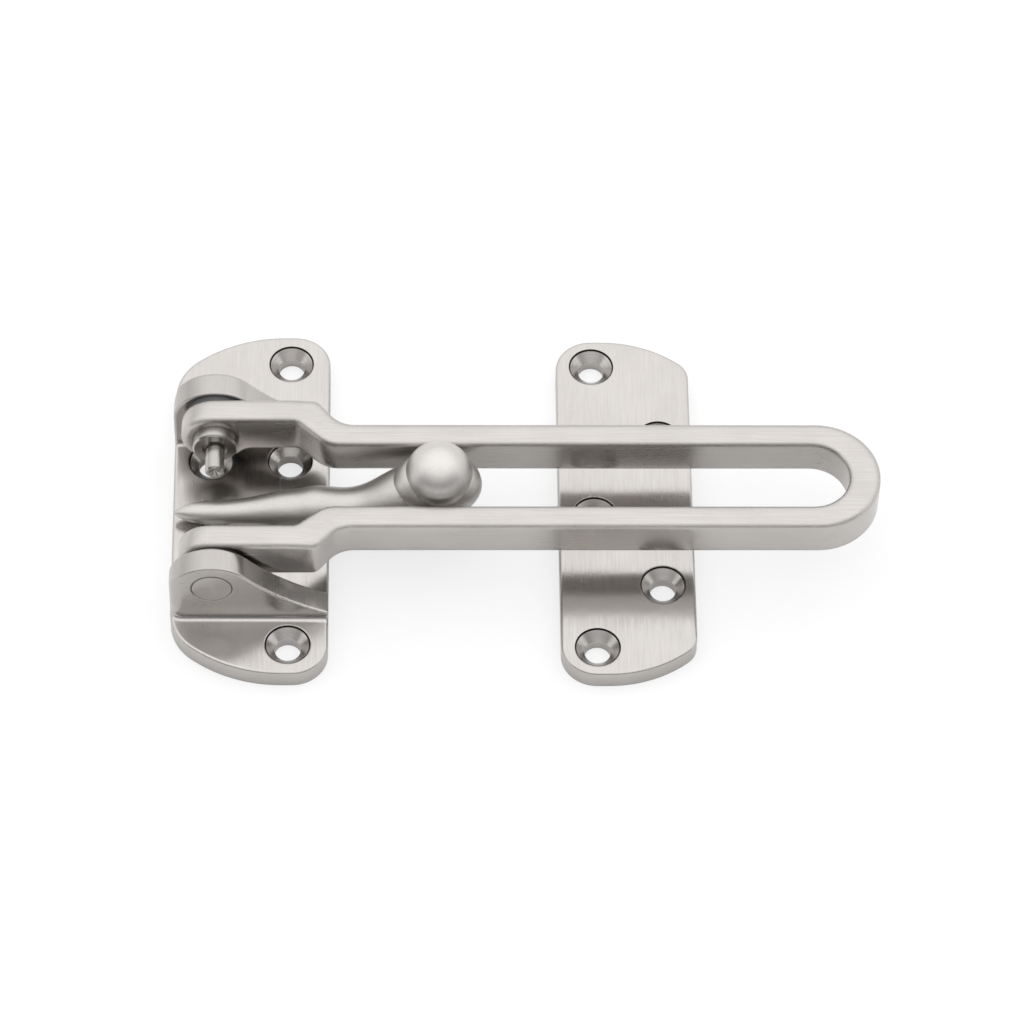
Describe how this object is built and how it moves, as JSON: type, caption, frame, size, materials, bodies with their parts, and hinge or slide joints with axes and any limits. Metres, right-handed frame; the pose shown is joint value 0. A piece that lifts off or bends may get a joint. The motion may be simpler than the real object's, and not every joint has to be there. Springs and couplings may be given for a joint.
{
  "type": "door guard",
  "caption": "Swing-bar door guard: slotted U-shaped bar hinged between the ears of a screw plate, swinging over a ball on a curved arm, with a separate flat strike plate.",
  "frame": {"origin": "on the back face of the hinge plate, straight below the hinge pins' axis and midway between the two hinge ears", "axes": "+X along the closed swing bar from its hinge to its looped end, +Z out of the door from the plates' back faces, +Y across the bar"},
  "size_m": [0.1347, 0.0795, 0.0251],
  "materials": {
    "plate_steel": "brushed across the bar",
    "bar_steel": "satin, brushed along the bar",
    "ball_steel": "fine satin, half polished",
    "pin_steel": "turned",
    "washer_nylon": "moulded, dark"
  },
  "bodies": {
    "base": {"hinge_plate": "plate_steel", "ball_arm": "ball_steel", "pivot_pin_far": "pin_steel", "pivot_pin_near": "pin_steel", "thrust_washer_far": "washer_nylon", "thrust_washer_near": "washer_nylon", "strike_plate": "plate_steel"},
    "bar": {"swing_bar": "bar_steel"}
  },
  "joints": [
    {"name": "bar_swing", "type": "hinge", "parent": "base", "child": "bar", "pos_m": [0, 0, 0.0137], "axis": [0, -1, 0], "range_deg": [0, 180]}
  ]
}
